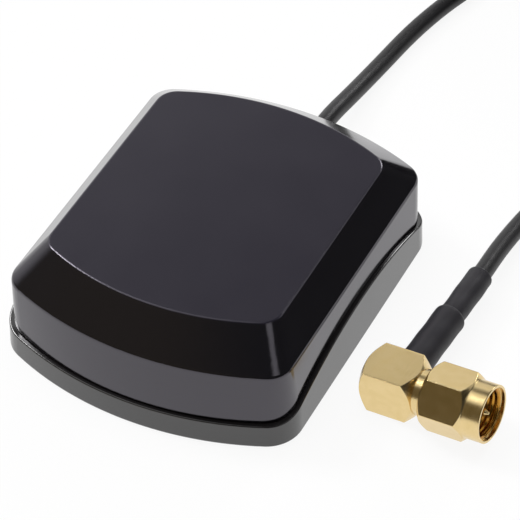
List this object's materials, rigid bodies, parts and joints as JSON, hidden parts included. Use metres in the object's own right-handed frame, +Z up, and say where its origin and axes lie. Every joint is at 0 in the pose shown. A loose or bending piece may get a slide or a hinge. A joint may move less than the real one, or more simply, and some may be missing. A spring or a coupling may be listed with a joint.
{
  "type": "gps antenna",
  "caption": "Low roof antenna case with bowed ends, sloped shoulders and a magnet in its base, a coiled thin coaxial cable and a right-angle plug with a free coupling nut.",
  "frame": {"origin": "middle of the case's underside, on the surface it stands on", "axes": "+Z up out of the flat top, +Y along the case towards the end that the cable leaves, +X towards the side where the plug lies"},
  "size_m": [0.0717, 0.1458, 0.016],
  "materials": {
    "case": "glossy black moulded plastic, finer on the flat top",
    "magnet": "nickel-plated magnet",
    "screw": "zinc-plated steel",
    "board": "green solder-masked laminate",
    "ceramic": "fired ceramic",
    "feed_pin": "tinned",
    "foam": "soft foam",
    "can": "tinned sheet",
    "chips": "moulded epoxy",
    "capacitors": "ceramic chips",
    "rubber": "matt moulded rubber",
    "cable": "extruded black jacket",
    "core": "extruded insulation",
    "sleeve": "shrunk sleeve",
    "tie": "woven hook-and-loop strap",
    "gold": "gold-plated brass",
    "spring": "spring bronze",
    "insulator": "white fluoropolymer",
    "seal": "red silicone"
  },
  "bodies": {
    "antenna": {"base": "case", "cover": "case", "magnet": "magnet", "base_screws": "screw", "circuit_board": "board", "ceramic_patch": "ceramic", "feed_pin": "feed_pin", "foam_pad": "foam", "shield_can": "can", "amplifier_chip": "chips", "band_filter": "chips", "chip_capacitors": "capacitors", "cable_grommet": "rubber", "case_cable": "cable", "cable_coil": "cable", "plug_cable": "cable", "cable_tail": "cable", "plug_core": "core", "wide_sleeve": "sleeve", "narrow_sleeve": "sleeve", "coil_tie": "tie", "elbow_body": "gold", "elbow_cap": "gold", "crimp_ferrule": "gold", "centre_pin": "gold", "snap_ring": "spring", "insulator": "insulator", "face_seal": "seal"},
    "nut": {"coupling_nut": "gold"}
  },
  "joints": [
    {"name": "nut_turn", "type": "hinge", "parent": "antenna", "child": "nut", "pos_m": [0.03887, -0.00891, 0.00471], "axis": [0.9912, -0.0693, 0.1132], "continuous": true}
  ]
}
